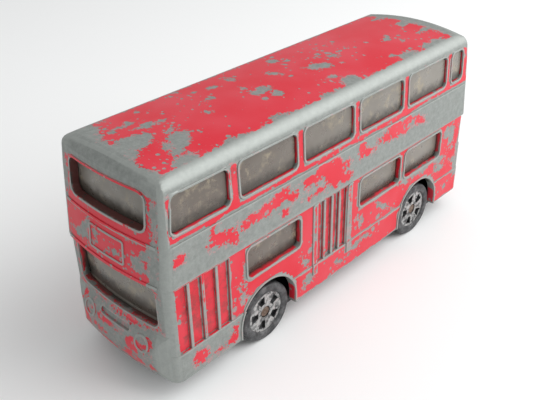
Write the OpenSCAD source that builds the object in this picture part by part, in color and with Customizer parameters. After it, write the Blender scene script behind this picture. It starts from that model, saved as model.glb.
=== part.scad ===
// Die-cast toy double-deck bus: a hollow zinc casting over a clear window moulding and a
// seat deck, closed by a riveted base that carries two wire axles and four wheels.
// +X is the front, +Y the nearside with the doors, +Z up. Z = 0 is the ground.

/* [Casting] */
// Width across the belt between the decks
body_w = 23; // [20:0.5:27]
// Thickness of the casting's walls
wall = 1.2; // [0.9:0.1:1.6]
// How far the belt stands proud of the sides above and below it
belt_proud = 0.2; // [0.1:0.05:0.4]
// How far rims, ribs and ridges stand proud of the surface
trim_proud = 0.16; // [0.1:0.02:0.4]
// Width of the raised rim round a window
rim_w = 0.35; // [0.3:0.05:0.8]
// How far the skirt stands proud of the panels above it
skirt_proud = 0.12; // [0.05:0.01:0.3]

/* [Heights] */
// Ground to the lower edge of the skirt
skirt_z = 3.9; // [3:0.1:5]
// Skirt edge to the crease in line with the door sill
skirt_h = 4.8; // [4:0.1:6]
// Crease to the sill of the lower windows
panel_h = 5.6; // [5:0.1:7]
// Height of the lower windows
low_win_h = 5.3; // [4:0.1:6]
// Lower windows to the belt
low_head = 0.8; // [0.6:0.1:1.5]
// Height of the belt between the decks
belt_h = 6.6; // [5:0.1:8]
// Belt to the sill of the upper windows
up_sill = 1.5; // [1:0.1:2.5]
// Height of the upper windows
up_win_h = 5.5; // [4.5:0.1:6.5]
// Upper windows to the crown of the roof
roof_h = 3; // [2.6:0.1:4]

/* [Upper side, from front to rear] */
// Front face to the first window
front_post = 2.8; // [2.5:0.1:4]
// Length of the first window
first_win = 10.5; // [8:0.1:12]
// Pillar behind the first window
first_pillar = 2.1; // [1.6:0.1:3]
// Number of full bays behind it
bays = 4; // [3:1:5]
// Length of a full window
win_l = 11.65; // [9:0.05:13]
// Pillar between full windows
pillar = 1.8; // [1.5:0.1:2.5]
// Length of the quarter window at the rear
quarter_win = 3.6; // [3:0.1:4.5]
// Quarter window to the rear face at the belt
rear_post = 4.95; // [4.2:0.05:6]
// Rake of the first window's front edge, degrees
first_rake = 8; // [0:0.5:10]
// Corner radius of the windows
win_r = 0.9; // [0.5:0.1:1.5]

/* [Nearside doors] */
// Front face to the front door
door_front = 2.2; // [2:0.1:3]
// Pitch of the front door's leaves
door_pitch = 2.62; // [2.2:0.02:3]
// Number of leaves in a door
leaves = 4; // [2:1:5]
// Width of the ribs between the leaves
rib_w = 0.5; // [0.3:0.05:0.8]
// Depth of the leaves below the ribs
leaf_depth = 0.4; // [0.2:0.05:0.6]
// Front door to the window over the front wheel
door_panel = 3.4; // [2.5:0.1:5]
// That window to the centre door
mid_panel = 3; // [2.2:0.1:4]
// Width of the pilasters beside the centre door
pilaster_w = 1.1; // [0.8:0.1:1.6]
// How far the pilasters run down past the crease
pilaster_drop = 1.9; // [1.2:0.1:2.6]
// Pitch of the centre door's leaves
mid_pitch = 1.92; // [1.6:0.02:2.3]
// Centre door to the windows behind it
rear_panel = 2.3; // [1.6:0.1:4]
// Pillar between the two windows behind the centre door
low_pillar = 1.5; // [1.3:0.1:2.5]

/* [Ends] */
// Lean of the sides above the belt, degrees
lean = 2.6; // [0:0.1:4]
// Rake of the front above the belt, degrees
front_rake = 5; // [0:0.5:8]
// Rake of the rear above the belt, degrees
rear_rake = 6.5; // [2:0.5:9]
// Radius of the front's bow, seen from above
bow_r = 62; // [45:1:90]
// Radius of the front corner posts
post_r = 1.7; // [1.5:0.1:2.5]
// Radius of the rear's bow, seen from above
rear_bow_r = 50; // [40:1:90]
// Radius of the rear corners
rear_corner_r = 2.4; // [1.8:0.1:3.5]
// Radius of the roof's crown, seen from the front
crown_r = 70; // [50:1:120]
// Radius of the roof's edge
roof_edge_r = 2.2; // [1.4:0.1:2.6]
// Radius of the roof's front edge
roof_front_r = 2.2; // [1.4:0.1:2.6]
// Radius of the roof's rear edge
roof_rear_r = 3; // [2:0.1:3.6]
// How far the lower front is set back under the belt
front_set = 0.35; // [0.2:0.05:0.6]
// Radius over which the bulging front panel fades into the corner posts
bulge_fade_r = 7; // [5:0.5:9]
// Radius of the bulging front panel's corners
bulge_corner_r = 3; // [2.4:0.1:3.4]
// How far the bulging front panel stands proud of the lower front
bulge = 1.1; // [0.6:0.05:1.4]
// Height of the bulging front panel
bulge_h = 8.2; // [6.5:0.1:8.6]
// Set-back of the rear between the belt and the engine cover
rear_set = 0.35; // [0.2:0.05:0.6]
// Skirt edge to the top of the engine cover
engine_h = 10; // [8:0.1:12]
// Crease to the rim on the engine cover, and that rim to the cover's top
engine_edge = 0.5; // [0.3:0.1:1]

/* [Front fittings] */
// Width of the upper windscreen
screen_up_w = 16; // [13:0.1:17]
// Width of the lower windscreen
screen_low_w = 17.6; // [14:0.1:18]
// Height of the lower windscreen
screen_low_h = 6.9; // [5:0.1:7]
// Corner radius of the windscreens
screen_r = 1.2; // [0.6:0.1:2]
// Height of the ridges above and below the front band
ridge_h = 0.5; // [0.3:0.05:0.8]
// Width of the destination frame
blind_w = 7.8; // [6:0.1:10]
// Height of the destination frame
blind_h = 3.9; // [2.5:0.1:4]
// Distance between the headlamps
lamp_gap = 12.1; // [10:0.1:14]
// Radius of a headlamp
lamp_r = 1.1; // [0.8:0.05:1.3]
// Height of the headlamps above the skirt edge
lamp_h = 5.8; // [4:0.1:6.2]
// Length of the bare badge slot
slot_l = 6.7; // [5:0.1:8]
// Height of the bare badge slot
slot_h = 1; // [0.7:0.05:1.3]

/* [Wheels] */
// Radius of a tyre
tyre_r = 5.1; // [4.5:0.05:5.6]
// Width of a wheel
wheel_w = 3.2; // [2.6:0.1:4]
// Radius of a tyre's shoulders
shoulder_r = 0.45; // [0.3:0.05:0.6]
// How far the wheels sit inside the sides
wheel_inset = 0.5; // [0.3:0.05:1]
// Radius of the foiled hub
hub_r = 3.55; // [3:0.05:4]
// Depth of the hub's face below the tyre's
hub_set = 0.3; // [0.2:0.05:0.5]
// Thickness of the hub's face
web_t = 1.1; // [0.9:0.05:1.4]
// Depth of the hub's holes and of its centre
pocket_d = 0.6; // [0.4:0.05:0.7]
// Number of holes in the hub
pockets = 5; // [3:1:6]
// Radius at which the hub's holes begin
hole_in = 1.6; // [1.5:0.05:1.8]
// Hub's edge to the outer ends of its holes
hole_edge = 0.5; // [0.4:0.05:0.7]
// Width of the hub's holes at their inner ends
hole_w_in = 0.85; // [0.6:0.05:1]
// Width of the hub's holes at their outer ends
hole_w_out = 1.7; // [1.2:0.05:2]
// Radius of the wheel's inner boss
boss_r = 1.5; // [1.2:0.05:2]
// Radius of the axle wire
axle_r = 0.6; // [0.45:0.05:0.8]
// Radius of the axle's headed ends
head_r = 0.85; // [0.8:0.05:0.95]
// Thickness of the axle's headed ends
head_t = 0.35; // [0.2:0.05:0.45]
// Front face to the front axle
axle_back = 20.4; // [19:0.1:22]
// Distance between the axles
wheelbase = 40.9; // [38:0.1:44]
// Tyre to wheel arch
arch_gap = 0.95; // [0.7:0.05:1.2]
// How far the arch's centre lies above the axle
arch_rise = 0.5; // [0:0.05:0.8]
// Width of the raised lip round an arch
arch_lip = 0.35; // [0.2:0.05:0.6]

/* [Base] */
// Thickness of the base
base_t = 1.4; // [1.2:0.1:2]
// How far the base shows below the skirt
base_drop = 0.7; // [0.4:0.05:1]
// Height of the bare panel in the middle of the base
pad_h = 0.3; // [0.2:0.05:0.5]
// Width of the bare panel
pad_w = 13; // [10:0.5:15]
// Wheel notches to the ends of the bare panel
pad_end = 1; // [0.5:0.1:3]
// Width of the lugs that carry an axle
lug_w = 2.4; // [1.8:0.1:3]
// Metal round the axle in its lug
lug_wall = 1; // [0.8:0.1:1.5]
// Front face to the front rivet
rivet_front = 9.4; // [8.5:0.1:10]
// Rear face to the rear rivet
rivet_rear = 5.45; // [5:0.05:6]
// Radius of the posts under the roof
post_top_r = 1.9; // [1.6:0.1:2.4]
// Radius of the rivet shanks
shank_r = 1.2; // [1:0.05:1.4]
// Radius of the peened heads
peen_r = 1.9; // [1.7:0.05:2.2]
// Height of the peened heads
peen_h = 0.5; // [0.4:0.05:0.7]
// Thickness of the tubes round the shanks
tube_t = 0.9; // [0.7:0.05:1.2]

/* [Windows and seats] */
// Thickness of the window moulding
glass_t = 0.8; // [0.6:0.05:1]
// Depth of the upper side panes below the casting's side
up_pane_set = 0.35; // [0.2:0.05:0.8]
// Depth of the lower side panes below the casting's side
low_pane_set = 0.85; // [0.4:0.05:1]
// Thickness of the seat deck
deck_t = 1; // [0.8:0.05:1.4]
// Belt edge to the underside of the seat deck
deck_rise = 1; // [0.6:0.1:2]
// Rows of seats
seat_rows = 7; // [5:1:8]
// Width of the aisle
aisle_w = 5.2; // [4.8:0.1:6]
// Height of a seat's back above the deck
seat_back_h = 7.6; // [6:0.1:9]
// Height of a seat's cushion above the deck
cushion_h = 2.4; // [1.5:0.1:3]
// Depth of a seat's cushion
cushion_l = 3; // [2.5:0.1:3.6]
// Seats to the window moulding beside them
seat_room = 0.5; // [0.3:0.05:0.8]
// Thickness of a seat's back
seat_back_t = 0.9; // [0.7:0.05:1.3]

/* [Clearances] */
// Between pieces that sit in one another
fit = 0.12; // [0.08:0.01:0.2]
// Radial clearance of the axle in its lugs and in the wheels
run = 0.05; // [0.02:0.01:0.09]
// Side play of the wheels on their axle
play = 0.15; // [0.1:0.01:0.25]
// Between the wheels and the fixed pieces beside them
wheel_room = 0.5; // [0.4:0.05:0.8]

/* [Hidden] */
$fn = 64;

// Longer than any cut has to reach
far = 200;
// By this much an end's corner arcs start outside the side that they round
hair = 0.02;
// Steps in the arcs of the body's ends
bow_steps = 13;
corner_steps = 8;
// Turns in the roof's front and rear edges, outside and inside
roof_turns = 5;
inner_turns = 2;
// Least radius of an inner corner
least_r = 0.3;
// Radius r of a corner on a skin grown by g
function grown(r, g) = max(r + g, least_r);

// Lengths along X
bay_pitch = win_l + pillar;
side_l = front_post + first_win + first_pillar + bays * bay_pitch + quarter_win + rear_post;
body_l = side_l + bulge - front_set;
front_x = body_l / 2 - bulge + front_set;
rear_x = front_x - side_l;
front_low_x = front_x - front_set;
front_axle_x = front_x - axle_back;
rear_axle_x = front_axle_x - wheelbase;
rivet_x = [front_x - rivet_front, rear_x + rivet_rear];

// Heights
crease_z = skirt_z + skirt_h;
low_win_z = crease_z + panel_h;
belt_z = low_win_z + low_win_h + low_head;
belt_top = belt_z + belt_h;
up_win_z = belt_top + up_sill;
roof_z = up_win_z + up_win_h + roof_h;
engine_z = skirt_z + engine_h;
bulge_z = skirt_z + bulge_h / 2;
axle_z = tyre_r;
arch_z = axle_z + arch_rise;
arch_r = tyre_r + arch_gap;
base_z = skirt_z - base_drop;
base_top = base_z + base_t;
deck_z = belt_z + deck_rise;
deck_top = deck_z + deck_t;

// Half widths
belt_y = body_w / 2;
side_y = belt_y - belt_proud;
roof_y = side_y - (up_win_z + up_win_h - belt_top) * tan(lean);

// The fading arc touches the round of the corner post half-way round it
bulge_y = side_y - (post_r - bulge_fade_r) * (1 - cos(45));

// Wheels, measured from the centre line
wheel_out_y = side_y - wheel_inset;
wheel_in_y = wheel_out_y - wheel_w;
hub_y = wheel_out_y - hub_set;
centre_y = hub_y - pocket_d;
notch_y = wheel_in_y - wheel_room;
lug_out_y = notch_y - play;

// Radius of the front panel's bulge, seen from the side
bulge_r = (pow(bulge_h / 2, 2) + pow(bulge, 2)) / (2 * bulge);

// Windows from front to rear: [front edge, length, rake of the front edge]
upper_windows = concat(
  [[front_x - front_post, first_win, first_rake]],
  [for (i = [0 : bays - 1])
     [front_x - front_post - first_win - first_pillar - i * bay_pitch, win_l, 0]],
  [[rear_x + rear_post + quarter_win, quarter_win, 0]]);

// Nearside lower deck, from front to rear
door_x = front_x - door_front;
wheel_win_x = door_x - leaves * door_pitch - door_panel;
mid_door_x = wheel_win_x - win_l - mid_panel - pilaster_w;
rear_win_x = mid_door_x - leaves * mid_pitch - pilaster_w - rear_panel;
near_windows = [for (x = [wheel_win_x, rear_win_x, rear_win_x - win_l - low_pillar]) [x, win_l, 0]];
// Offside lower windows stand under the upper ones, up to the last full bay
off_windows = [for (i = [0 : bays]) upper_windows[i]];
// Door leaves stop short of the belt by the window head, and stand on the crease
leaf_h = belt_z - low_head / 2 - crease_z;

// Front fittings
screen_low_z = belt_z - low_head / 2 - screen_low_h;
blind_z = belt_z + belt_h / 2;
lamp_z = skirt_z + lamp_h;
slot_z = lamp_z + lamp_r;

// Inside faces, from the casting's inwards
glass_in = wall + fit;
glass_deep = glass_in + glass_t;
deck_in = glass_deep + fit;

// Seats stand between the first window and the quarter window
seat_y = roof_y - glass_deep - seat_room;
seat_front = front_x - front_post - deck_in - post_r;
seat_rear = rear_x + rear_post + quarter_win;
seat_pitch = (seat_front - seat_rear) / seat_rows;

// Flat shapes

// Rounded pane of length l and height h, its front edge raked back by an angle
module rounded(l, h, r, rake = 0) {
  lean_in = r * tan(rake) + r / cos(rake);
  front_top = l / 2 - lean_in - (h - 2 * r) * tan(rake);
  centres = [[l / 2 - lean_in, r - h / 2], [front_top, h / 2 - r],
             [r - l / 2, h / 2 - r], [r - l / 2, r - h / 2]];
  outward = [[cos(rake), sin(rake)], [0, 1], [-1, 0], [0, -1]];
  polygon([for (i = [0 : 3]) for (j = [i + 3, i]) centres[i] + r * outward[j % 4]]);
  for (c = centres) translate(c) circle(r);
}

module rim(l, h, r, rake = 0) {
  difference() {
    rounded(l + 2 * rim_w, h + 2 * rim_w, r + rim_w, rake);
    rounded(l, h, r, rake);
  }
}

// A strip of half width hw whose end, at x = 0, is bowed to radius big and runs into
// its sides by arcs of radius r. Its tail, from x = -l back to -l - foot, has half width tail.
module arched(hw, big, r, l, tail, foot) {
  turn = asin((hw - r) / (big - r));
  arc_x = (big - r) * cos(turn) - big;
  intersection() {
    translate([-big, 0]) rotate(180) circle(big);
    polygon([[-l, (big - l) * tan(turn)],
             [far * cos(turn) - big, far * sin(turn)],
             [far * cos(turn) - big, -far * sin(turn)],
             [-l, (l - big) * tan(turn)]]);
  }
  for (s = [-1, 1]) translate([arc_x, s * (hw - r)]) circle(r);
  polygon([[arc_x, hw], [-l, tail], [-l - foot, tail],
           [-l - foot, -tail], [-l, -tail], [arc_x, -hw]]);
}

// Points on an arc from angle a0 to a1 in n steps
function arc(c, r, a0, a1, n) =
  [for (i = [0 : n]) let (a = a0 + (a1 - a0) * i / n) c + r * [cos(a), sin(a)]];

// The same strip for the ends of the body, with its arcs in short steps
module end_arch(hw, big, r) {
  turn = asin((hw - r) / (big - r));
  arc_x = (big - r) * cos(turn) - big;
  step = 2 * turn / bow_steps;
  polygon(concat(
    arc([arc_x, hw - r], r, 90, turn, corner_steps),
    arc([-big, 0], big, turn - step, step - turn, bow_steps - 2),
    arc([arc_x, r - hw], r, -turn, -90, corner_steps),
    [[-far, -hw], [-far, hw]]));
}

// Solids that every skin of the casting is cut from, grown by g on all sides

// Flat shape on the (x, z) plane, drawn out along Y between y0 and y1
module across(y0, y1) {
  translate([0, y1, 0]) rotate([90, 0, 0]) linear_extrude(y1 - y0) children();
}

// Flat shape on the (y, z) plane, drawn out towards the front from x0
module forward(x0) {
  translate([x0, 0, 0]) rotate([90, 0, 90]) linear_extrude(far) children();
}

module upper_section(g) {
  translate([far / 2, 0, 0]) rotate([0, -90, 0]) linear_extrude(far) {
    translate([roof_z + g, 0])
      arched(roof_y + g, crown_r + g, grown(roof_edge_r, g),
             roof_z - belt_top + g, side_y + g, belt_h + g);
    translate([belt_z - g, -belt_y - g]) square([belt_h + 2 * g, 2 * (belt_y + g)]);
  }
}

// Bowed end of the body, whose face leans back by an angle
module turned_end(angle, hw, big, r, reach) {
  rotate([0, -angle, 0]) translate([reach, 0, -far / 2]) linear_extrude(far) end_arch(hw, big, r);
}

// Raked front, and the turns by which it rounds into the roof
module upper_front(g, turns) {
  z = roof_z - roof_front_r;
  x = front_x - (z - belt_z) * tan(front_rake) - roof_front_r / cos(front_rake);
  translate([x, 0, z]) intersection_for (i = [0 : turns])
    turned_end(front_rake + i * (90 - front_rake) / (turns + 1), belt_y + g + (2 * i + 1) * hair,
               bow_r + g, grown(post_r, g), roof_front_r + g);
}

module upper_rear(g, turns) {
  z = roof_z - roof_rear_r;
  x = rear_x + (z - belt_z) * tan(rear_rake) + roof_rear_r / cos(rear_rake);
  translate([x, 0, z]) mirror([1, 0, 0]) intersection_for (i = [0 : turns])
    turned_end(rear_rake + i * (90 - rear_rake) / (turns + 1), belt_y + g + (2 * i + 2) * hair,
               rear_bow_r + g, grown(rear_corner_r, g), roof_rear_r + g);
}

module upper_block(g) {
  turns = g < 0 ? inner_turns : roof_turns;
  intersection() {
    upper_section(g);
    upper_front(g, turns);
    upper_rear(g, turns);
  }
}

module lower_plan(g, y, back_x) {
  intersection() {
    translate([front_low_x + g, 0]) end_arch(y + g, bow_r + g, grown(post_r, g));
    translate([back_x - g, 0]) mirror([1, 0])
      end_arch(y + g + hair, rear_bow_r + g, grown(rear_corner_r, g));
  }
}

// A slab of the lower deck from z0 to z1
module slab(g, z0, z1, y, back_x) {
  translate([0, 0, z0]) linear_extrude(z1 - z0) lower_plan(g, y, back_x);
}

// Skirt, engine-high panels and window band, each under the one above
module lower_block(g) {
  slab(g, skirt_z, crease_z + g, side_y + skirt_proud, rear_x);
  slab(g, crease_z + g, engine_z + g, side_y, rear_x);
  slab(g, engine_z + g, belt_z + wall, side_y, rear_x + rear_set);
}

// Lower front panel, bulged in side view and bowed in plan about the same upright axis
module bulge_block(g) {
  intersection() {
    translate([front_low_x - bow_r, 0, 0]) rotate_extrude() intersection() {
      translate([bow_r + bulge - bulge_r, bulge_z]) circle(bulge_r + g);
      translate([bow_r - wall / 2, skirt_z]) square(far);
    }
    linear_extrude(far) intersection() {
      translate([front_low_x + bulge + hair + g, 0]) {
        intersection() {
          end_arch(side_y - hair + g, bow_r + g, bulge_corner_r + g);
          end_arch(bulge_y + g, bow_r + g, bulge_fade_r + g);
        }
      }
      translate([0, -far / 2]) square(far);
    }
  }
}

module casting_block(g) {
  upper_block(g);
  lower_block(g);
  bulge_block(g);
}

// Space inside walls of thickness t
module hollow(t) {
  upper_block(-t);
  slab(-t, 0, belt_z + 2 * t, side_y, rear_x + rear_set);
}

// Raised and sunk work on the casting

module side_windows(list, z, h, y0, y1) {
  for (w = list) across(y0, y1) translate([w[0] - w[1] / 2, z + h / 2])
    rounded(w[1], h, win_r, w[2]);
}

// The same windows less a clearance all round, as panes that stand in them
module side_panes(list, z, h, y0, y1) {
  panes = [for (w = list) [w[0] - fit, w[1] - 2 * fit, w[2]]];
  side_windows(panes, z + fit, h - 2 * fit, y0, y1);
}

module side_rims(list, z, h, y0, y1) {
  for (w = list) across(y0, y1) translate([w[0] - w[1] / 2, z + h / 2])
    rim(w[1], h, win_r, w[2]);
}

module front_screens() {
  forward(0) {
    translate([0, up_win_z + up_win_h / 2]) rounded(screen_up_w, up_win_h, screen_r);
    translate([0, screen_low_z + screen_low_h / 2]) rounded(screen_low_w, screen_low_h, screen_r);
  }
}

module front_trim() {
  forward(0) {
    translate([0, up_win_z + up_win_h / 2]) rim(screen_up_w, up_win_h, screen_r);
    translate([0, blind_z]) rim(blind_w - 2 * rim_w, blind_h - 2 * rim_w, rim_w / 2);
    for (z = [belt_z, belt_top - ridge_h])
      translate([-belt_y + post_r, z]) square([2 * (belt_y - post_r), ridge_h]);
    for (s = [-1, 1]) translate([s * lamp_gap / 2, lamp_z]) difference() {
      circle(lamp_r + rim_w);
      circle(lamp_r);
    }
  }
}

module rear_screen() {
  translate([-far, 0, 0]) forward(0)
    translate([0, up_win_z + up_win_h / 2]) rounded(screen_up_w, up_win_h, screen_r);
}

module rear_trim() {
  translate([-far, 0, 0]) forward(0) {
    translate([0, up_win_z + up_win_h / 2]) rim(screen_up_w, up_win_h, screen_r);
    translate([0, (crease_z + engine_z) / 2])
      rim(screen_up_w, engine_z - crease_z - 2 * (engine_edge + rim_w), win_r);
  }
}

// Bare slot in the front panel, cut to leaf depth below its bulge
module badge_slot() {
  difference() {
    forward(0) translate([0, slot_z]) rounded(slot_l, slot_h, slot_h / 2 - hair);
    bulge_block(-leaf_depth);
    lower_block(-leaf_depth);
  }
}

module leaf_row(x, pitch, z, h) {
  for (i = [0 : leaves - 1])
    translate([x - (i + 1) * pitch + rib_w / 2, side_y - leaf_depth, z])
      cube([pitch - rib_w, far, h]);
}

module pilasters() {
  for (x = [mid_door_x, mid_door_x - leaves * mid_pitch - pilaster_w])
    translate([x, 0, crease_z - pilaster_drop])
      cube([pilaster_w, far, belt_z - crease_z + pilaster_drop]);
}

module arch_shape(r) {
  circle(r);
  translate([-r, -far]) square([2 * r, far]);
}

module arches(r) {
  for (x = [front_axle_x, rear_axle_x]) for (s = [-1, 1])
    across(s > 0 ? notch_y : -far, s > 0 ? far : -notch_y) translate([x, arch_z]) arch_shape(r);
}

module trim() {
  intersection() {
    casting_block(trim_proud);
    translate([-far, -far, skirt_z]) cube(2 * far);
    union() {
      side_rims(upper_windows, up_win_z, up_win_h, -far, far);
      side_rims(near_windows, low_win_z, low_win_h, 0, far);
      side_rims(off_windows, low_win_z, low_win_h, -far, 0);
      front_trim();
      rear_trim();
      pilasters();
      arches(arch_r + arch_lip);
    }
  }
}

// Posts from the middle of the roof's metal down to the deck
module posts() {
  intersection() {
    upper_block(-wall / 2);
    for (x = rivet_x) translate([x, 0, deck_top]) cylinder(r = post_top_r, h = far);
  }
}

// Rivet shank below a post, with its peened head under the base
module rivet(x) {
  translate([x, 0, base_z + fit]) {
    cylinder(r = shank_r, h = deck_top - base_z);
    cylinder(r = peen_r, h = peen_h);
  }
}

module body_shell() {
  color("firebrick") {
    difference() {
      union() {
        casting_block(0);
        trim();
      }
      hollow(wall);
      side_windows(upper_windows, up_win_z, up_win_h, -far, far);
      side_windows(near_windows, low_win_z, low_win_h, 0, far);
      side_windows(off_windows, low_win_z, low_win_h, -far, 0);
      front_screens();
      rear_screen();
      badge_slot();
      leaf_row(door_x, door_pitch, crease_z, leaf_h);
      leaf_row(mid_door_x, mid_pitch, crease_z, leaf_h);
      arches(arch_r);
    }
    posts();
    for (x = rivet_x) rivet(x);
  }
}

// Panes that stand out of the window moulding into the side windows
module panes() {
  intersection() {
    upper_section(-up_pane_set);
    side_panes(upper_windows, up_win_z, up_win_h, -far, far);
  }
  low_y = side_y - low_pane_set;
  side_panes(near_windows, low_win_z, low_win_h, 0, low_y);
  side_panes(off_windows, low_win_z, low_win_h, -low_y, 0);
}

// Clear moulding behind the windows of both decks, open at the bottom
module glazing() {
  color("tan") difference() {
    union() {
      intersection() {
        hollow(glass_in);
        translate([-far, -far, min(low_win_z, screen_low_z) - rim_w]) cube(2 * far);
      }
      panes();
    }
    hollow(glass_deep);
    for (x = rivet_x) translate([x, 0, 0]) cylinder(r = post_top_r + fit, h = far);
  }
}

module seat(s) {
  w = seat_y - aisle_w / 2;
  translate([0, s > 0 ? aisle_w / 2 : -seat_y, deck_t / 2]) {
    cube([seat_back_t, w, seat_back_h + deck_t / 2]);
    cube([cushion_l, w, cushion_h + deck_t / 2]);
  }
}

module seat_deck() {
  color("khaki") difference() {
    union() {
      intersection() {
        hollow(deck_in);
        translate([-far, -far, deck_z]) cube([2 * far, 2 * far, deck_t]);
      }
      for (i = [0 : seat_rows - 1]) for (s = [-1, 1])
        translate([seat_rear + i * seat_pitch, 0, deck_z]) seat(s);
    }
    for (x = rivet_x) translate([x, 0, 0]) cylinder(r = shank_r + fit, h = far);
  }
}

module wheel_notches() {
  l = 2 * (tyre_r + wheel_room);
  for (x = [front_axle_x, rear_axle_x]) for (s = [-1, 1])
    translate([x - l / 2, s > 0 ? notch_y : -far - notch_y]) square([l, far]);
}

module lug(x, s) {
  half = axle_r + run + lug_wall;
  y = s > 0 ? lug_out_y - lug_w : -lug_out_y;
  translate([x - half, y, base_z]) cube([2 * half, lug_w, axle_z - base_z]);
  translate([x, y, axle_z]) rotate([-90, 0, 0]) cylinder(r = half, h = lug_w);
}

module base_plate() {
  pad_l = wheelbase - 2 * (tyre_r + wheel_room + pad_end);
  color("dimgray") difference() {
    union() {
      difference() {
        translate([0, 0, base_z]) linear_extrude(base_t) difference() {
          lower_plan(-wall - fit, side_y, rear_x + rear_set);
          wheel_notches();
        }
        for (x = [front_axle_x, rear_axle_x]) translate([x, far / 2, axle_z])
          rotate([90, 0, 0]) cylinder(r = axle_r + play, h = far);
      }
      for (x = [front_axle_x, rear_axle_x]) for (s = [-1, 1]) lug(x, s);
      for (x = rivet_x) translate([x, 0, base_z])
        cylinder(r = shank_r + fit + tube_t, h = deck_z - base_z);
      translate([(front_axle_x + rear_axle_x) / 2 - pad_l / 2, -pad_w / 2, base_z - pad_h])
        cube([pad_l, pad_w, pad_h + base_t / 2]);
    }
    for (x = [front_axle_x, rear_axle_x]) translate([x, far / 2, axle_z])
      rotate([90, 0, 0]) cylinder(r = axle_r + run, h = far);
    for (x = rivet_x) translate([x, 0, 0]) {
      cylinder(r = shank_r + fit, h = far);
      cylinder(r = peen_r + fit, h = base_z + fit + peen_h);
    }
  }
}

// Wire axle with a headed end in each hub, on the centre line of its wheels
module axle(x) {
  head_y = centre_y + play;
  color("saddlebrown") translate([x, 0, axle_z]) rotate([90, 0, 0]) {
    cylinder(r = axle_r, h = 2 * head_y, center = true);
    for (s = [-1, 1]) translate([0, 0, s * (head_y + head_t / 2)])
      cylinder(r = head_r, h = head_t, center = true);
  }
}

module front_axle() {
  axle(front_axle_x);
}

module rear_axle() {
  axle(rear_axle_x);
}

// Half section of a wheel: x is the radius, y the distance from the centre line
module wheel_section() {
  translate([(hub_r + tyre_r) / 2, (wheel_in_y + wheel_out_y) / 2])
    rounded(tyre_r - hub_r, wheel_w, shoulder_r);
  translate([axle_r + run, hub_y - web_t]) square([hub_r + shoulder_r - axle_r - run, web_t]);
  translate([axle_r + run, lug_out_y + play])
    square([boss_r - axle_r - run, hub_y - web_t / 2 - lug_out_y - play]);
}

// Tapered hole between two spokes of the hub
module hub_pocket() {
  hole_out = hub_r - hole_edge;
  polygon([[hole_in, hole_w_in / 2], [hole_out, hole_w_out / 2],
           [hole_out, -hole_w_out / 2], [hole_in, -hole_w_in / 2]]);
}

module wheel(x, s) {
  color("dimgray") translate([x, 0, axle_z]) rotate([s > 0 ? -90 : 90, 0, 0]) difference() {
    rotate_extrude() wheel_section();
    translate([0, 0, centre_y]) {
      cylinder(r = head_r + play, h = far);
      linear_extrude(far) for (i = [0 : pockets - 1]) rotate(i * 360 / pockets) hub_pocket();
    }
  }
}

module wheel_front_left() {
  wheel(front_axle_x, 1);
}

module wheel_front_right() {
  wheel(front_axle_x, -1);
}

module wheel_rear_left() {
  wheel(rear_axle_x, 1);
}

module wheel_rear_right() {
  wheel(rear_axle_x, -1);
}

body_shell();
glazing();
seat_deck();
base_plate();
front_axle();
rear_axle();
wheel_front_left();
wheel_front_right();
wheel_rear_left();
wheel_rear_right();
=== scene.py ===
# %% [markdown]
# A worn die-cast toy bus. The pieces and their sizes come from the imported model, which is
# loaded first and never moved. This script gives them their looks: red paint that has worn
# through to bare zinc, cloudy windows, foiled hubs, and grime with painted shade in the
# hollows. Everything is in metres, but a toy this small is easier to think about in
# millimetres, so MM turns one into the other.

import math

import bmesh
import bpy
import numpy as np
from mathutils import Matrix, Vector


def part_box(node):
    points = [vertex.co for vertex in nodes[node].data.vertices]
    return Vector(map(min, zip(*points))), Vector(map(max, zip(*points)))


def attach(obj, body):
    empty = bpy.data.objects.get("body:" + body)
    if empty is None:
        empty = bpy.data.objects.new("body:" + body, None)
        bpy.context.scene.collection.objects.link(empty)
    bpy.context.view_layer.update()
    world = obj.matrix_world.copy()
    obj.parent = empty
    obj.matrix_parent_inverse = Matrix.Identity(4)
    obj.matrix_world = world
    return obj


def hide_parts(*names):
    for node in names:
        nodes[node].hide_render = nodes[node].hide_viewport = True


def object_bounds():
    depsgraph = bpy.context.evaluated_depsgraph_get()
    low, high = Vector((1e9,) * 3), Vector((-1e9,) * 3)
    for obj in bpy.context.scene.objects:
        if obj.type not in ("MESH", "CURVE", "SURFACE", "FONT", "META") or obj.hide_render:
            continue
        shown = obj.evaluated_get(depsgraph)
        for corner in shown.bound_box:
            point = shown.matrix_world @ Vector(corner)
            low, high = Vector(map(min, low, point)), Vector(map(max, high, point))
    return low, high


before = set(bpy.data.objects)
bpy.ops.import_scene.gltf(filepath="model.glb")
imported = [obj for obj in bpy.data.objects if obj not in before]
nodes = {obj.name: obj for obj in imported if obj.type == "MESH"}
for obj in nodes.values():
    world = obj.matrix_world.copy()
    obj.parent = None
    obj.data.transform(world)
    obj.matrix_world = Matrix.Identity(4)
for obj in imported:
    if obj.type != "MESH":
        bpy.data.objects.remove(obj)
cad_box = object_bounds()
MM = 0.001
print("pieces:", ", ".join(sorted(nodes)))

# %% [markdown]
# The camera stands in front of the nearside corner and looks down on the roof. Its place,
# its turn and its lens were worked out from the corners of the windows, so that the model's
# edges fall on the real one's. The near clip has to be short, because the bus is close.

# %% Camera
CAMERA_AT = Vector((83.16, 73.50, 80.75)) * MM
CAMERA_TURN = (58.695, 0.995, 133.150)
LENS = 50.03

camera_data = bpy.data.cameras.new("camera")
camera_data.lens = LENS
camera_data.sensor_width = 36
camera_data.clip_start = 5 * MM
camera = bpy.data.objects.new("camera", camera_data)
camera.location = CAMERA_AT
camera.rotation_euler = [math.radians(a) for a in CAMERA_TURN]
bpy.context.scene.collection.objects.link(camera)
bpy.context.scene.camera = camera
print("camera", round(camera.location.length / MM), "mm from the middle of the bus")

# %% [markdown]
# Materials are built from nodes in the script. These few helpers keep that short: one adds
# a node and sets its sockets, others make the maths, the noise and the colour mixes, and the
# last one gives a finish to a piece.


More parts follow.
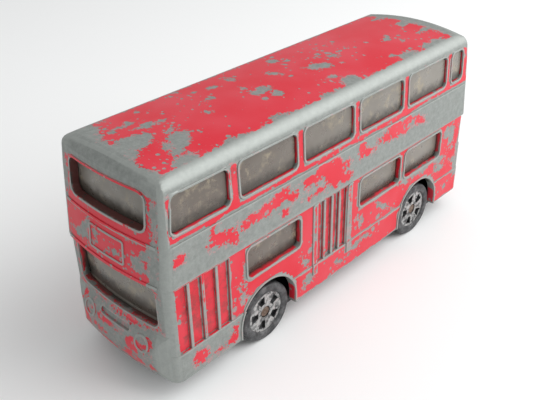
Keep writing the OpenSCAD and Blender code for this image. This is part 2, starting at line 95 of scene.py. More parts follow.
# %% Node helpers
def new_material(name):
    """A material with an empty tree, its principled shader and its output."""
    material = bpy.data.materials.new(name)
    material.use_nodes = True
    tree = material.node_tree
    tree.nodes.clear()
    out = tree.nodes.new("ShaderNodeOutputMaterial")
    shader = tree.nodes.new("ShaderNodeBsdfPrincipled")
    tree.links.new(shader.outputs[0], out.inputs["Surface"])
    return material, tree, shader


def plug(tree, socket, value):
    """Links another node's output to a socket, or sets the socket to a plain value."""
    if isinstance(value, bpy.types.NodeSocket):
        tree.links.new(value, socket)
    else:
        socket.default_value = value


def maths(tree, operation, *values, clamp=False):
    node = tree.nodes.new("ShaderNodeMath")
    node.operation = operation
    node.use_clamp = clamp
    for socket, value in zip(node.inputs, values):
        plug(tree, socket, value)
    return node.outputs[0]


def add(tree, first, second):
    return maths(tree, "ADD", first, second)


def subtract(tree, first, second):
    return maths(tree, "SUBTRACT", first, second)


def multiply(tree, first, second):
    return maths(tree, "MULTIPLY", first, second)


def larger(tree, first, second):
    return maths(tree, "MAXIMUM", first, second)


def smaller(tree, first, second):
    return maths(tree, "MINIMUM", first, second)


def ramp(tree, value, low, high, to_low=0.0, to_high=1.0):
    """Runs smoothly from to_low to to_high as the value goes from low to high."""
    node = tree.nodes.new("ShaderNodeMapRange")
    node.interpolation_type = "SMOOTHSTEP"
    for socket, v in zip(node.inputs, (value, low, high, to_low, to_high)):
        plug(tree, socket, v)
    return node.outputs[0]


def mix(tree, share, first, second):
    """A colour between two others."""
    node = tree.nodes.new("ShaderNodeMix")
    node.data_type = "RGBA"
    plug(tree, node.inputs["Factor"], share)
    for socket, colour in ((node.inputs[6], first), (node.inputs[7], second)):
        plug(tree, socket, colour if isinstance(colour, bpy.types.NodeSocket) else (*colour, 1))
    return node.outputs[2]


def millimetres(tree):
    """The point on the object, in millimetres."""
    place = tree.nodes.new("ShaderNodeTexCoord").outputs["Object"]
    mapping = tree.nodes.new("ShaderNodeMapping")
    mapping.inputs["Scale"].default_value = (1 / MM, 1 / MM, 1 / MM)
    tree.links.new(place, mapping.inputs["Vector"])
    return mapping.outputs[0]


def noise(tree, place, grain, detail=3.0, rough=0.55):
    """Noise from 0 to 1 whose blotches are about as large as the grain, in millimetres."""
    node = tree.nodes.new("ShaderNodeTexNoise")
    settings = {"Vector": place, "Scale": 1 / grain, "Detail": detail, "Roughness": rough}
    for name, value in settings.items():
        plug(tree, node.inputs[name], value)
    return node.outputs["Fac"]


def attribute(tree, name):
    node = tree.nodes.new("ShaderNodeAttribute")
    node.attribute_name = name
    return node.outputs["Fac"]


def bump(tree, height, distance, strength=1.0):
    node = tree.nodes.new("ShaderNodeBump")
    node.inputs["Strength"].default_value = strength
    node.inputs["Distance"].default_value = distance
    tree.links.new(height, node.inputs["Height"])
    return node.outputs[0]


def dress(node, material):
    """Gives a CAD piece its finish."""
    mesh = nodes[node].data
    mesh.materials.clear()
    mesh.materials.append(material)


# %% [markdown]
# The studio is a white floor with soft light from everywhere, and one large lamp high on
# the right, which leaves the front of the bus in shade.

# %% Studio
FLOOR_SIZE = 4000 * MM
FLOOR_WHITE = (0.90, 0.91, 0.91)
SKY = 0.60
KEY_AT = Vector((-210, 250, 260)) * MM
KEY_SIZE = 430 * MM
KEY_WATTS = 1.95
KEY_AIM = Vector((0, 0, 15)) * MM

floor_mesh = bpy.data.meshes.new("floor")
half = FLOOR_SIZE / 2
floor_corners = [(-half, -half, 0), (half, -half, 0), (half, half, 0), (-half, half, 0)]
floor_mesh.from_pydata(floor_corners, [], [(0, 1, 2, 3)])
floor = bpy.data.objects.new("floor", floor_mesh)
bpy.context.scene.collection.objects.link(floor)
paper, tree, shader = new_material("white_paper")
plug(tree, shader.inputs["Base Color"], (*FLOOR_WHITE, 1))
plug(tree, shader.inputs["Roughness"], 0.9)
floor_mesh.materials.append(paper)

world = bpy.data.worlds.new("sky")
world.use_nodes = True
world.node_tree.nodes["Background"].inputs["Color"].default_value = (1, 1, 1, 1)
world.node_tree.nodes["Background"].inputs["Strength"].default_value = SKY
bpy.context.scene.world = world

key_data = bpy.data.lights.new("key", "AREA")
key_data.size = KEY_SIZE
key_data.energy = KEY_WATTS
key = bpy.data.objects.new("key", key_data)
key.location = KEY_AT
key.rotation_euler = (KEY_AIM - KEY_AT).to_track_quat("-Z", "Y").to_euler()
bpy.context.scene.collection.objects.link(key)
bpy.context.scene.view_settings.view_transform = "Standard"
print("studio ready")

# %% [markdown]
# On the casting, paint goes first where the metal stands proud: rims, ribs and corners. To
# know where that is, a copy of the casting is welded into one surface, and its sharp edges
# are sorted into raised ones, where wear begins, and sunk ones, where grime collects and
# shade is painted in. The raised edges are then rounded a little, as on any die casting, and
# the outside is cut into small cells, so that a wear value can be stored at every point of
# it. Slivers between the faces are taken out first, because they fold over when they are cut
# and show as dark lines.

# %% Welded copy of the casting and its edges
WELD = 0.002 * MM
SLIVER = 0.02 * MM
FLAT = math.radians(0.3)
SHARP = math.radians(30)
INSIDE_LOW = Vector((-37.8, -10.15, -1)) * MM
INSIDE_HIGH = Vector((36.9, 10.15, 35.85)) * MM

casting = bmesh.new()
casting.from_mesh(nodes["body_shell"].data)
bmesh.ops.remove_doubles(casting, verts=casting.verts, dist=WELD)
bmesh.ops.dissolve_limit(casting, angle_limit=FLAT, verts=casting.verts, edges=casting.edges)
bmesh.ops.dissolve_degenerate(casting, dist=SLIVER, edges=casting.edges)


def outside(point):
    """Whether a point is on the casting's outer skin."""
    return any(p < low or p > high for p, low, high in zip(point, INSIDE_LOW, INSIDE_HIGH))


def edge_lines(name, edges):
    """A mesh that holds only these edges, to measure distances from."""
    lines = bpy.data.meshes.new(name)
    points = [v.co.copy() for e in edges for v in e.verts]
    lines.from_pydata(points, [(i, i + 1) for i in range(0, len(points), 2)], [])
    return bpy.data.objects.new(name, lines)


sharp = [e for e in casting.edges if e.is_manifold and e.calc_face_angle(0) > SHARP]
sharp = [e for e in sharp if all(outside(v.co) for v in e.verts)]
raised = edge_lines("raised_edges", [e for e in sharp if e.is_convex])
sunk = edge_lines("sunk_edges", [e for e in sharp if not e.is_convex])
print(len(raised.data.edges), "raised edges and", len(sunk.data.edges), "sunk ones")

# %% [markdown]
# A casting has no knife edges, because the die is rounded and tumbling rounds it further. So
# the raised edges get a small bevel. Cuts along all three axes then divide the outside into
# cells. The first cut is shifted a little, so that no cut runs along a flat face. The four
# corners of the roof, where three curves meet, are smoothed last.

# %% Rounded edges and small cells
ROUNDING = 0.07 * MM
CELL = 0.75 * MM
CUT_SHIFT = 0.013
CUT_TOLERANCE = 1e-7
CORNER_SOFTENING = 20
CORNER_Z, CORNER_Y, CORNER_FRONT_X, CORNER_REAR_X = 32.8 * MM, 8.6 * MM, 34.0 * MM, -35.5 * MM

bmesh.ops.bevel(casting, geom=[e for e in sharp if e.is_convex], offset=ROUNDING, offset_type="OFFSET",
                segments=2, profile=0.5, affect="EDGES", clamp_overlap=False, loop_slide=True)
skin = [f for f in casting.faces if outside(f.calc_center_median())]
skin = list({v for f in skin for v in f.verts}) + list({e for f in skin for e in f.edges}) + skin
for axis in range(3):
    across = Vector([float(i == axis) for i in range(3)])
    low, high = (cad_box[i][axis] for i in range(2))
    for step in range(1, int((high - low) / CELL) + 1):
        place = across * (low + (step + CUT_SHIFT) * CELL)
        cut = bmesh.ops.bisect_plane(casting, geom=skin, dist=CUT_TOLERANCE, plane_co=place, plane_no=across)
        skin = cut["geom"]
roof_corners = [v for v in casting.verts if outside(v.co) and v.co.z > CORNER_Z and abs(v.co.y) > CORNER_Y
                and (v.co.x > CORNER_FRONT_X or v.co.x < CORNER_REAR_X)]
for _ in range(CORNER_SOFTENING):
    bmesh.ops.smooth_vert(casting, verts=roof_corners, factor=0.5,
                          use_axis_x=True, use_axis_y=True, use_axis_z=True)
shell_mesh = bpy.data.meshes.new("worn_casting")
casting.to_mesh(shell_mesh)
casting.free()
shell = bpy.data.objects.new("worn_casting", shell_mesh)
bpy.context.scene.collection.objects.link(shell)
print("casting cut into", len(shell_mesh.polygons), "faces")

# %% [markdown]
# A small tree of Geometry Nodes measures how far each point is from the nearest raised edge
# and from the nearest sunk one. Geometry Proximity does this exactly, and the result is
# stored on the points under a name that the paint can read.


# %% Distances to the edges
def distance_tree():
    """Stores each point's distance to two sets of lines, in millimetres, and sets the paint."""
    tree = bpy.data.node_groups.new("edge_distances", "GeometryNodeTree")
    face = tree.interface
    face.new_socket("Casting", in_out="INPUT", socket_type="NodeSocketGeometry")
    face.new_socket("Raised edges", in_out="INPUT", socket_type="NodeSocketObject")
    face.new_socket("Sunk edges", in_out="INPUT", socket_type="NodeSocketObject")
    face.new_socket("Paint", in_out="INPUT", socket_type="NodeSocketMaterial")
    face.new_socket("Casting", in_out="OUTPUT", socket_type="NodeSocketGeometry")
    start = tree.nodes.new("NodeGroupInput")
    shape = start.outputs["Casting"]
    for socket, name in (("Raised edges", "raised"), ("Sunk edges", "sunk")):
        lines = tree.nodes.new("GeometryNodeObjectInfo")
        tree.links.new(start.outputs[socket], lines.inputs["Object"])
        near = tree.nodes.new("GeometryNodeProximity")
        near.target_element = "EDGES"
        tree.links.new(lines.outputs["Geometry"], near.inputs[0])
        scale = tree.nodes.new("ShaderNodeMath")
        scale.operation = "DIVIDE"
        scale.inputs[1].default_value = MM
        tree.links.new(near.outputs["Distance"], scale.inputs[0])
        store = tree.nodes.new("GeometryNodeStoreNamedAttribute")
        store.data_type = "FLOAT"
        store.domain = "POINT"
        store.inputs["Name"].default_value = name
        tree.links.new(shape, store.inputs["Geometry"])
        tree.links.new(scale.outputs[0], store.inputs["Value"])
        shape = store.outputs["Geometry"]
    whole = tree.nodes.new("GeometryNodeRealizeInstances")
    tree.links.new(shape, whole.inputs[0])
    finish = tree.nodes.new("GeometryNodeSetMaterial")
    tree.links.new(whole.outputs[0], finish.inputs["Geometry"])
    tree.links.new(start.outputs["Paint"], finish.inputs["Material"])
    end = tree.nodes.new("NodeGroupOutput")
    tree.links.new(finish.outputs[0], end.inputs[0])
    return tree


def socket_id(tree, name):
    """The key under which a modifier keeps one of the tree's inputs."""
    sockets = tree.interface.items_tree
    return next(s.identifier for s in sockets if s.name == name and s.in_out == "INPUT")


paint, paint_tree, paint_shader = new_material("worn_red_paint")
distances = shell.modifiers.new("distances", "NODES")
distances.node_group = distance_tree()
for helper in (raised, sunk):
    bpy.context.scene.collection.objects.link(helper)
distances[socket_id(distances.node_group, "Raised edges")] = raised
distances[socket_id(distances.node_group, "Sunk edges")] = sunk
distances[socket_id(distances.node_group, "Paint")] = paint
evaluated = shell.evaluated_get(bpy.context.evaluated_depsgraph_get())
measured = bpy.data.meshes.new_from_object(evaluated)
shell.modifiers.remove(distances)
shell.data = measured
for helper in (raised, sunk):
    bpy.data.objects.remove(helper)
print("distances stored:", [a.name for a in measured.attributes if a.name in ("raised", "sunk")])

# %% [markdown]
# Where paint is left on the large faces is told by a cover value, in millimetres: above
# zero there is paint, below it there is bare metal. It starts from a rule for each part of
# the body: the belt and the lower front are mostly bare, the rest is mostly painted.
# Patches of paint and of bare metal are then laid over it as ellipses, placed on the
# sides that show in the photo. The noise in the paint material makes their edges ragged.

# %% Rules for the cover of paint
CREASE_Z, BELT_Z, BELT_TOP, WINDOW_TOP = 8.7, 20.4, 27.0, 34.0
PANEL_TOP, BARE_PANEL_TOP = 14.4, 12.6
BELT_MARGIN = 0.1
GUTTER_FOOT, GUTTER = WINDOW_TOP - 0.2, WINDOW_TOP + 0.5
FRONT_ZONE, REAR_ZONE, DOOR_ZONE = 35.5, -30, 24
ROOF_FACING, END_FACING = 0.75, 0.6
PAINTED, BARE = 1.6, -2.0
THIN, THINNER, HALF_BARE, MOSTLY_BARE = 0.3, 0.05, -0.5, -0.55

count = len(measured.vertices)
points = np.zeros(count * 3)
measured.vertices.foreach_get("co", points)
points = points.reshape(-1, 3) / MM
normals = np.zeros(count * 3)
measured.vertices.foreach_get("normal", normals)
normals = normals.reshape(-1, 3)
x, y, z = points.T
upward = normals[:, 2] > ROOF_FACING
on_roof = upward & (z > WINDOW_TOP)
on_front = ~on_roof & ((normals[:, 0] > END_FACING) | upward) & (x > FRONT_ZONE)
on_rear = ~on_roof & (normals[:, 0] < -END_FACING) & (x < REAR_ZONE)
on_side = ~on_roof & ~on_front & ~on_rear
on_near = on_side & (y > 0)
on_off = on_side & (y <= 0)

cover = np.full(count, PAINTED)
belt = (z > BELT_Z - BELT_MARGIN) & (z < BELT_TOP + BELT_MARGIN)
cover[belt & on_side] = BARE
cover[belt & on_rear] = THIN
cover[on_side & (z > GUTTER_FOOT)] = MOSTLY_BARE
cover[on_side & (z > GUTTER)] = BARE
cover[on_front & (z < PANEL_TOP)] = THINNER
cover[on_front & (z < BARE_PANEL_TOP)] = HALF_BARE
cover[on_front & (z > GUTTER)] = BARE
front_sill = on_near & (z < CREASE_Z) & (x > DOOR_ZONE)
cover[front_sill] = BARE


def ellipse(u, v, at_u, at_v, half_u, half_v, tilt=0):
    """How far inside an ellipse points are, in millimetres; below zero they are outside."""
    c, s = math.cos(math.radians(tilt)), math.sin(math.radians(tilt))
    along = ((u - at_u) * c + (v - at_v) * s) / half_u
    across = ((v - at_v) * c - (u - at_u) * s) / half_v
    return (1 - np.hypot(along, across)) * min(half_u, half_v)


def lay(where, u, v, patches, painted, spread=0.0):
    """Lays patches of paint, or of bare metal, on the points of one face."""
    for patch in patches:
        depth = ellipse(u[where], v[where], *patch) + spread
        if painted:
            cover[where] = np.maximum(cover[where], depth)
        else:
            cover[where] = np.minimum(cover[where], -depth)


# %% [markdown]
# Each patch is its middle, its two half widths and sometimes its tilt in degrees. On the
# sides the numbers run along the bus and up. The offside doesn't show, so it takes the same
# patches, mirrored and moved along, because both sides of such a toy wear alike.

# %% Patches on the sides
OFFSIDE_SHIFT = -3
BELT_SPREAD = 0.12

belt_paint = [
    (35.0, 24.5, 0.9, 0.7), (28.8, 26.3, 0.6, 1.0), (27.2, 24.3, 2.3, 0.9), (25.2, 23.2, 1.3, 0.8, 30),
    (21.4, 24.4, 2.2, 0.8), (17.8, 24.5, 2.5, 1.0), (15.0, 25.4, 1.9, 1.0), (12.8, 24.2, 1.1, 0.6),
    (14.5, 22.4, 0.7, 0.6), (8.4, 25.3, 2.0, 0.8), (5.8, 26.1, 1.4, 1.0), (3.6, 25.0, 2.0, 1.7),
    (2.2, 24.0, 2.6, 1.3), (1.8, 22.5, 2.2, 1.0), (0.0, 21.9, 1.4, 0.8), (7.2, 22.4, 1.5, 0.5),
    (-4.2, 26.2, 0.9, 1.1), (-4.6, 25.0, 1.0, 1.0), (-5.8, 24.0, 1.3, 0.5), (-10.5, 25.2, 1.7, 0.8),
    (-13.2, 25.8, 2.1, 1.2), (-15.5, 24.8, 1.9, 0.8), (-17.2, 26.2, 1.3, 0.8),
    (-20.5, 25.0, 1.6, 0.5, 20),
]
sill_paint = [(32.5, 6.3, 1.3, 1.4), (26.6, 5.4, 1.8, 0.7), (25.4, 6.6, 0.6, 1.4), (29.5, 5.0, 0.8, 0.4)]
side_bare = [
    (22.9, 16.0, 0.5, 2.3), (23.3, 11.6, 1.1, 0.9), (24.4, 14.0, 0.5, 0.5), (9.4, 10.3, 0.8, 0.7),
    (10.2, 11.7, 0.5, 0.4), (8.6, 6.6, 1.3, 1.0), (10.2, 5.6, 0.9, 0.5), (-3.9, 12.3, 1.0, 0.8),
    (-4.9, 10.9, 0.8, 0.9), (-10.8, 11.8, 1.7, 0.5, 40), (-14.2, 9.4, 1.4, 0.4, 40),
    (-4.2, 7.0, 2.2, 0.6, -15), (-7.4, 7.3, 1.2, 0.5, 20), (-5.8, 8.7, 0.6, 0.4), (1.0, 5.8, 0.6, 0.4),
    (-18.0, 13.4, 1.5, 0.6, 30), (-31.4, 18.2, 1.4, 1.0, 40), (-30.2, 11.4, 1.8, 0.6),
    (-33.5, 14.5, 1.2, 0.7), (-36.4, 10.0, 1.4, 2.6), (-36.8, 17.0, 1.0, 2.4), (3.0, 9.0, 0.7, 0.4),
    (-24.0, 13.4, 1.6, 0.5), (-33.4, 17.0, 0.9, 2.4), (-36.4, 13.4, 1.1, 2.4), (-29.6, 13.3, 2.4, 0.6),
    (-34.2, 11.6, 1.2, 0.5, 25),
]
lay(on_near & belt, x, z, belt_paint, painted=True, spread=BELT_SPREAD)
lay(front_sill, x, z, sill_paint, painted=True)
lay(on_near & (z < BELT_Z), x, z, side_bare, painted=False)
lay(on_off & belt, OFFSIDE_SHIFT - x, z, belt_paint, painted=True)
lay(on_off & (z < BELT_Z), OFFSIDE_SHIFT - x, z, side_bare, painted=False)
print("nearside:", len(belt_paint) + len(sill_paint), "patches of paint,", len(side_bare), "of bare metal")

# %% [markdown]
# The roof has kept its paint in the middle and lost it all round the rim, where fingers hold
# the toy. On the roof the patches run along the bus and across it. Towards the front the
# paint that is left is thin, so that chips are more common there.

# %% Patches on the roof
PAINT_NEAR, PAINT_OFF, PAINT_FRONT, PAINT_REAR = 9.3, -9.2, 34.4, -32.6
THIN_FRONT_X, THIN_FRONT = 23.5, 0.5

roof_paint_edge = np.min([PAINT_NEAR - y, y - PAINT_OFF, x - PAINT_REAR, PAINT_FRONT - x], axis=0)
roof_bare = [
    (-4.3, 8.7, 2.2, 2.0), (-20.0, 9.0, 2.2, 1.2), (-27.5, 9.4, 3.4, 1.7), (2.6, 9.6, 1.6, 0.9),
    (12.6, 9.0, 2.0, 0.7), (22.0, 9.6, 2.4, 1.0), (30.0, 8.6, 2.4, 1.2), (-4.8, 1.6, 2.5, 1.3, -20),
    (8.5, 1.2, 1.8, 1.0), (7.6, 3.8, 1.0, 1.0), (2.3, -1.5, 0.6, 1.7, 25), (-9.9, 0.3, 1.1, 0.6),
    (-23.2, 2.0, 1.5, 0.7, 35), (-17.3, 7.2, 0.8, 0.5), (-8.0, -1.5, 0.8, 0.5), (-2.0, -6.0, 0.9, 1.3),
    (8.2, -5.6, 0.6, 1.2), (12.4, -5.4, 0.8, 0.6), (-2.5, 5.7, 1.0, 0.5), (27.3, 4.3, 2.3, 1.6, 35),
    (29.4, 6.4, 1.8, 0.8, 50), (32.0, 0.7, 2.8, 2.1), (27.0, -2.0, 2.4, 0.8, -15),
    (26.4, 1.6, 1.0, 0.7), (29.8, -4.5, 1.6, 0.6), (34.6, -4.4, 1.4, 2.2), (34.4, 1.6, 1.6, 2.2),
    (-31.2, 4.2, 1.8, 0.6, 20), (29.6, 5.4, 0.8, 2.6), (34.8, -7.6, 3.0, 2.6), (-31.6, -0.4, 1.6, 1.2),
    (19.0, 1.0, 0.6, 0.6), (16.4, -2.2, 0.9, 0.3, 30), (9.8, -1.0, 0.5, 1.0), (-32.0, -6.0, 2.0, 1.0),
]
roof_paint = [(32.8, 6.2, 2.6, 1.5, 10), (33.0, 4.4, 2.0, 0.9, 20), (33.0, -3.0, 1.6, 1.0)]
cover[on_roof] = np.minimum(cover[on_roof], roof_paint_edge[on_roof])
lay(on_roof, x, y, roof_bare, painted=False)
lay(on_roof, x, y, roof_paint, painted=True)
roof_front = on_roof & (x > THIN_FRONT_X)
cover[roof_front] = np.minimum(cover[roof_front], THIN_FRONT)
print("roof:", len(roof_bare), "patches of bare metal")

# %% [markdown]
# The front takes the knocks when the toy is pushed into things. Its band between the decks
# is painted with bare spots, and its lower panel is bare with some paint left in the middle.
# On the front the patches run across the bus and up.

# %% Patches on the front
FRONT_PAINT_TOP = 12.8

front_bare = [
    (-5.0, 24.2, 1.0, 2.0, -30), (-7.0, 22.6, 2.4, 0.7), (6.4, 23.0, 1.5, 1.2), (7.8, 25.0, 1.2, 0.9),
    (-2.6, 24.4, 0.6, 1.0, -20), (2.0, 23.2, 0.9, 0.6), (9.4, 23.5, 1.2, 4.0), (9.6, 30.5, 0.8, 4.5),
    (9.6, 16.0, 1.0, 4.5), (-9.9, 30.5, 0.8, 4.5), (-9.9, 16.0, 1.0, 4.5),
]
front_paint = [
    (4.4, 8.6, 1.9, 1.3), (3.4, 6.0, 2.2, 0.9), (7.0, 9.7, 0.9, 1.1), (7.6, 6.0, 0.7, 0.8),
    (-8.4, 7.6, 2.2, 1.6), (-3.0, 5.0, 4.0, 0.5), (-2.0, 9.6, 2.6, 0.5), (-9.0, 11.0, 1.6, 0.8),
    (3.0, 12.3, 3.0, 0.4), (-4.0, 7.2, 1.6, 0.5),
]
lay(on_front, y, z, front_bare, painted=False)
lay(on_front & (z < FRONT_PAINT_TOP), y, z, front_paint, painted=True)
print("front:", len(front_paint), "patches of paint,", len(front_bare), "of bare metal")

# %% [markdown]
# Round corners are worn bare too. They have no sharp edge to measure from, but they are
# where the surface faces none of the three main directions, so the normals tell. The walls
# of the windows are told by their depth behind the outer face, because they are darkened
# with grime and with painted shade.
# Two ridges and a line over the windscreen have kept their paint better than other edges.

# %% Worn corners, and the cover stored
FRONT_X, LOW_FRONT_X, BOW_R, SIDE_Y = 38.5, 38.15, 62, 11.3
CORNER_ZONE, WINDOW_ZONE, WINDSCREEN_ZONE = 8.5, 10.1, 9.6
BEND_START, BEND_RANGE = 0.02, 0.05
DEEPEST = 2
RIDGES = ((19.9, 21.6), (26.6, 28.0))
RED_LINE_Y, RED_LINE_Z, RED_LINE_COVER = (-9.2, 8.0), (WINDOW_TOP - 0.1, GUTTER), 0.7
TOUGHNESS = 0.5


def between(values, limits):
    return (values > limits[0]) & (values < limits[1])


corner = 1 - np.abs(normals).max(axis=1)
on_corner = np.abs(y) > CORNER_ZONE
bend = np.where(on_corner | on_roof, np.clip((corner - BEND_START) / BEND_RANGE, 0, 1), 0)
cover = np.minimum(cover, PAINTED - bend * (PAINTED - BARE))
front_face = np.where(z > BELT_Z, FRONT_X, LOW_FRONT_X) - y ** 2 / (2 * BOW_R)
at_front = x > FRONT_ZONE
depth = np.where(at_front, front_face - x, SIDE_Y - np.abs(y))
across_screen = np.abs(y) < WINDSCREEN_ZONE
in_screen = (normals[:, 0] < 0.5) & across_screen
in_window = np.where(at_front, in_screen, np.abs(y) > WINDOW_ZONE) & between(z, (CREASE_Z, WINDOW_TOP + 0.2))
reveal = np.where(in_window, np.clip(depth, 0, DEEPEST), 0)
ridge = on_front & across_screen & (between(z, RIDGES[0]) | between(z, RIDGES[1]))
red_line = on_front & between(y, RED_LINE_Y) & between(z, RED_LINE_Z)
cover[red_line] = RED_LINE_COVER
tough = np.where(ridge | red_line, TOUGHNESS, 0)
for name, values in (("cover", cover), ("reveal", reveal), ("tough", tough), ("bend", bend)):
    stored = measured.attributes.new(name, "FLOAT", "POINT")
    stored.data.foreach_set("value", values.astype(np.float32))
print("cover from", round(cover.min(), 2), "to", round(cover.max(), 2), "mm")

# %% [markdown]
# The paint itself. Three things take it away: a low cover, nearness to a raised edge, and
# small chips that are scattered all over. What is left is red and glossy, and what is bare
# is dull zinc with a little red still rubbed into it. Where it is rubbed most and on round
# corners the zinc is lighter: partly polish, partly a painted highlight. Sunk edges and the
# walls of the windows are darkened: partly grime, partly painted shade. The step from paint
# to metal also drives a fine bump, so that the paint has a thickness.

# %% Paint and bare metal
RED = (0.62, 0.011, 0.028)
RED_FADED = (0.63, 0.040, 0.062)
RESIDUE = (0.52, 0.235, 0.25)
ZINC = (0.315, 0.335, 0.318)
ZINC_DARK = (0.185, 0.20, 0.19)
ZINC_POLISHED_AND_HIGHLIGHT = (0.385, 0.41, 0.39)
GRIME_AND_SHADE = (0.050, 0.042, 0.034)
EDGE_WEAR = 0.16
PAINT_THICK = 0.03 * MM
CHIPS = ((1.7, 0.36), (0.8, 0.34))
RAGGED_COARSE, RAGGED_FINE = 2.2, 1.7
RESIDUE_SHARE, POLISH_AND_HIGHLIGHT_SHARE = 0.6, 0.45
WALL_DIRT_AND_SHADE, EDGE_DIRT_AND_SHADE = 0.88, 0.04
BARE_ROUGH, PAINT_ROUGH, RUBBED_ROUGH = 0.55, 0.4, 0.48
BARE_METALLIC, RUBBED_METALLIC = 0.25, 0.35

t = paint_tree
place = millimetres(t)
coarse = subtract(t, noise(t, place, 1.5, 5, 0.62), 0.5)
fine = subtract(t, noise(t, place, 0.45, 3, 0.6), 0.5)
broad = noise(t, place, 9, 2)
ragged = add(t, multiply(t, coarse, RAGGED_COARSE), multiply(t, fine, RAGGED_FINE))
kept = ramp(t, add(t, attribute(t, "cover"), ragged), -0.07, 0.07)

edge_noise = multiply(t, subtract(t, noise(t, place, 2.6, 4), 0.42), 1.1)
edge_gap = subtract(t, add(t, attribute(t, "raised"), attribute(t, "tough")), EDGE_WEAR)
edge_gap = add(t, subtract(t, edge_gap, edge_noise), multiply(t, fine, 0.25))
at_foot = subtract(t, attribute(t, "raised"), attribute(t, "sunk"))
at_foot = add(t, at_foot, multiply(t, coarse, 0.12))
kept_edge = larger(t, ramp(t, edge_gap, -0.05, 0.05), ramp(t, at_foot, -0.01, 0.02))

coat = smaller(t, kept, kept_edge)
for spacing, largest in CHIPS:
    cells = t.nodes.new("ShaderNodeTexVoronoi")
    plug(t, cells.inputs["Vector"], place)
    plug(t, cells.inputs["Scale"], 1 / spacing)
    chance = t.nodes.new("ShaderNodeSeparateColor")
    t.links.new(cells.outputs["Color"], chance.inputs[0])
    luck = add(t, chance.outputs[0], multiply(t, subtract(t, broad, 0.5), 1.4))
    luck = add(t, luck, ramp(t, attribute(t, "cover"), 1.5, 0.2, 0.0, 0.25))
    chip_size = ramp(t, luck, 0.66, 1.15, 0.0, largest)
    chip = add(t, cells.outputs["Distance"], multiply(t, fine, 0.6))
    coat = smaller(t, coat, ramp(t, subtract(t, chip, chip_size), -0.03, 0.03))

red = mix(t, ramp(t, broad, 0.3, 0.7), RED, RED_FADED)
zinc = mix(t, ramp(t, noise(t, place, 0.9, 6, 0.8), 0.15, 0.85), ZINC_DARK, ZINC)
near_paint = ramp(t, attribute(t, "cover"), -1.9, -0.2)
flecks = add(t, noise(t, place, 0.5, 4, 0.7), multiply(t, coarse, 0.9))
flecks = ramp(t, add(t, flecks, multiply(t, near_paint, 0.45)), 0.96, 1.06, 0.0, RESIDUE_SHARE)
zinc = mix(t, flecks, zinc, RESIDUE)
# Rubbed edges and round corners get a lighter zinc: partly polish, partly a painted highlight.
rubbed = larger(t, ramp(t, attribute(t, "raised"), 0.35, 0.0), attribute(t, "bend"))
zinc = mix(t, multiply(t, rubbed, POLISH_AND_HIGHLIGHT_SHARE), zinc, ZINC_POLISHED_AND_HIGHLIGHT)
# Sunk edges and the walls of the windows are darkened: partly grime, partly painted shade.
grime_and_shade_gap = add(t, attribute(t, "sunk"), multiply(t, coarse, 0.5))
grime_and_shade = ramp(t, grime_and_shade_gap, -0.05, 0.1, EDGE_DIRT_AND_SHADE, 0.0)
sunken = add(t, attribute(t, "reveal"), multiply(t, coarse, 1.5))
grime_and_shade = larger(t, grime_and_shade, ramp(t, sunken, 0.25, 0.9, 0.0, WALL_DIRT_AND_SHADE))
colour = mix(t, grime_and_shade, mix(t, coat, zinc, red), GRIME_AND_SHADE)
plug(t, paint_shader.inputs["Base Color"], colour)
paint_shader.inputs["Specular IOR Level"].default_value = 0.35
bare = subtract(t, 1.0, coat)
metal = ramp(t, rubbed, 0, 1, BARE_METALLIC, RUBBED_METALLIC)
plug(t, paint_shader.inputs["Metallic"], multiply(t, bare, metal))
rough = ramp(t, coat, 0, 1, BARE_ROUGH, PAINT_ROUGH)
rough = ramp(t, multiply(t, bare, rubbed), 0, 1, rough, RUBBED_ROUGH)
plug(t, paint_shader.inputs["Roughness"], rough)
plug(t, paint_shader.inputs["Normal"], bump(t, add(t, coat, multiply(t, fine, 0.35)), PAINT_THICK))

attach(shell, "bus")
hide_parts("body_shell")
print("casting painted and worn")

# %% [markdown]
# The window moulding was clear once. Dust and age have made it cloudy, with yellowish
# blotches, and the bottom of each window is darker: partly dirt, partly painted shade under the sill.

# %% Cloudy windows
HAZE = (0.15, 0.125, 0.105)
HAZE_LIGHT = (0.27, 0.25, 0.22)
HAZE_YELLOW = (0.40, 0.34, 0.24)
SILL_DIRT_AND_SHADE = (0.040, 0.032, 0.024)
SILLS_Z = (14.3, 28.5)
CLEAR_SHARE = 0.2
PLASTIC_IOR = 1.49

windows, t, shader = new_material("cloudy_window")
place = millimetres(t)
split = t.nodes.new("ShaderNodeSeparateXYZ")
t.links.new(place, split.inputs[0])
# The haze is lighter towards the rear, where the dust lies thicker, and on the front windscreens.
light_haze_share = larger(t, ramp(t, split.outputs["X"], 32, -30), ramp(t, split.outputs["X"], 35, 36))
light_haze_share = maths(t, "ADD", light_haze_share, subtract(t, noise(t, place, 5, 4), 0.5), clamp=True)
blotch = ramp(t, noise(t, place, 2.4, 6, 0.72), 0.50, 0.70, 0.0, 0.85)
haze = mix(t, blotch, mix(t, light_haze_share, HAZE, HAZE_LIGHT), HAZE_YELLOW)
smudge = multiply(t, subtract(t, noise(t, place, 1.2, 4), 0.5), 2.0)
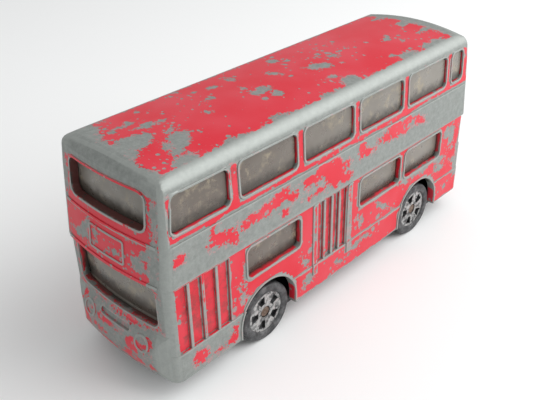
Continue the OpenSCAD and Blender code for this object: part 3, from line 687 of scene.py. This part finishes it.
# A dark band along the bottom of each window: partly dirt, partly painted shade under the sill.
sill_dirt_and_shade = 0.0
for sill in SILLS_Z:
    above = add(t, subtract(t, split.outputs["Z"], sill), smudge)
    foot = ramp(t, split.outputs["Z"], sill - 1, sill - 0.6)
    band = multiply(t, ramp(t, above, 0.3, 2.4, 1.0, 0.0), foot)
    sill_dirt_and_shade = larger(t, sill_dirt_and_shade, band)
plug(t, shader.inputs["Base Color"], mix(t, multiply(t, sill_dirt_and_shade, 0.85), haze, SILL_DIRT_AND_SHADE))
plug(t, shader.inputs["Roughness"], ramp(t, noise(t, place, 2.0, 4), 0.3, 0.7, 0.22, 0.45))
shader.inputs["Transmission Weight"].default_value = CLEAR_SHARE
shader.inputs["IOR"].default_value = PLASTIC_IOR
dress("glazing", windows)
print("windows clouded")

# %% [markdown]
# The seats, the base and the axles show little, so their finishes are simple: a mottled
# yellowish plastic, a dull dark metal and browned wire.

# %% Plain finishes
SEAT_LIGHT, SEAT_DARK = (0.42, 0.36, 0.20), (0.30, 0.25, 0.14)
BASE_DARK, BASE_WORN = (0.030, 0.030, 0.032), (0.075, 0.075, 0.075)
WIRE_BROWN, WIRE_BRIGHT = (0.10, 0.06, 0.04), (0.24, 0.18, 0.14)


def mottled(name, first, second, grain, rough, metallic=0.0):
    """A finish that wanders between two colours, with a fine bump."""
    material, tree, shader = new_material(name)
    place = millimetres(tree)
    share = noise(tree, place, grain, 5, 0.6)
    plug(tree, shader.inputs["Base Color"], mix(tree, ramp(tree, share, 0.3, 0.7), first, second))
    plug(tree, shader.inputs["Roughness"], ramp(tree, share, 0.2, 0.8, rough + 0.08, rough - 0.08))
    shader.inputs["Metallic"].default_value = metallic
    plug(tree, shader.inputs["Normal"], bump(tree, noise(tree, place, grain / 6, 3), 0.02 * MM, 0.5))
    return material


seats = mottled("seat_plastic", SEAT_LIGHT, SEAT_DARK, grain=3.0, rough=0.5)
dress("seat_deck", seats)
base = mottled("base_metal", BASE_DARK, BASE_WORN, grain=2.0, rough=0.55, metallic=0.4)
dress("base_plate", base)
wire = mottled("axle_wire", WIRE_BROWN, WIRE_BRIGHT, grain=0.7, rough=0.45, metallic=0.8)
dress("front_axle", wire)
dress("rear_axle", wire)
print("seats, base and axles finished")

# %% [markdown]
# Each wheel is one piece of black plastic. Silver foil was pressed on the face of its hub
# and has rubbed off in places. The foil lies where the point is within the hub's radius and
# on its outer face, and the holes below that face stay black.

# %% Wheels
HUB_R, HUB_Y = 3.55, 10.5
BLACK = (0.018, 0.018, 0.020)
DUSTY = (0.105, 0.106, 0.108)
FOIL = (0.50, 0.50, 0.49)


def wheel_finish(axle):
    """Dusty black plastic with foil round the middle of one axle."""
    low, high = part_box(axle)
    centre = (low + high) / 2 / MM
    material, tree, shader = new_material("wheel_plastic_" + axle)
    place = millimetres(tree)
    split = tree.nodes.new("ShaderNodeSeparateXYZ")
    tree.links.new(place, split.inputs[0])
    off_x = subtract(tree, split.outputs["X"], centre.x)
    off_z = subtract(tree, split.outputs["Z"], centre.z)
    square = add(tree, maths(tree, "POWER", off_x, 2), maths(tree, "POWER", off_z, 2))
    radius = maths(tree, "SQRT", square)
    outward = maths(tree, "ABSOLUTE", split.outputs["Y"])
    within = ramp(tree, radius, HUB_R - 0.05, HUB_R + 0.02, 1.0, 0.0)
    on_hub = multiply(tree, within, ramp(tree, outward, HUB_Y - 0.08, HUB_Y - 0.03))
    rubbed = ramp(tree, noise(tree, place, 0.6, 6, 0.72), 0.40, 0.60)
    foil = multiply(tree, on_hub, rubbed)
    dust = ramp(tree, noise(tree, place, 1.4, 5, 0.65), 0.40, 0.70)
    plug(tree, shader.inputs["Base Color"], mix(tree, foil, mix(tree, dust, BLACK, DUSTY), FOIL))
    plug(tree, shader.inputs["Metallic"], multiply(tree, foil, 0.8))
    plug(tree, shader.inputs["Roughness"], ramp(tree, foil, 0, 1, 0.5, 0.34))
    plug(tree, shader.inputs["Normal"], bump(tree, noise(tree, place, 0.4, 3), 0.03 * MM, 0.6))
    return material


for end in ("front", "rear"):
    finish = wheel_finish(end + "_axle")
    for side in ("left", "right"):
        dress("wheel_" + end + "_" + side, finish)
print("wheels foiled")
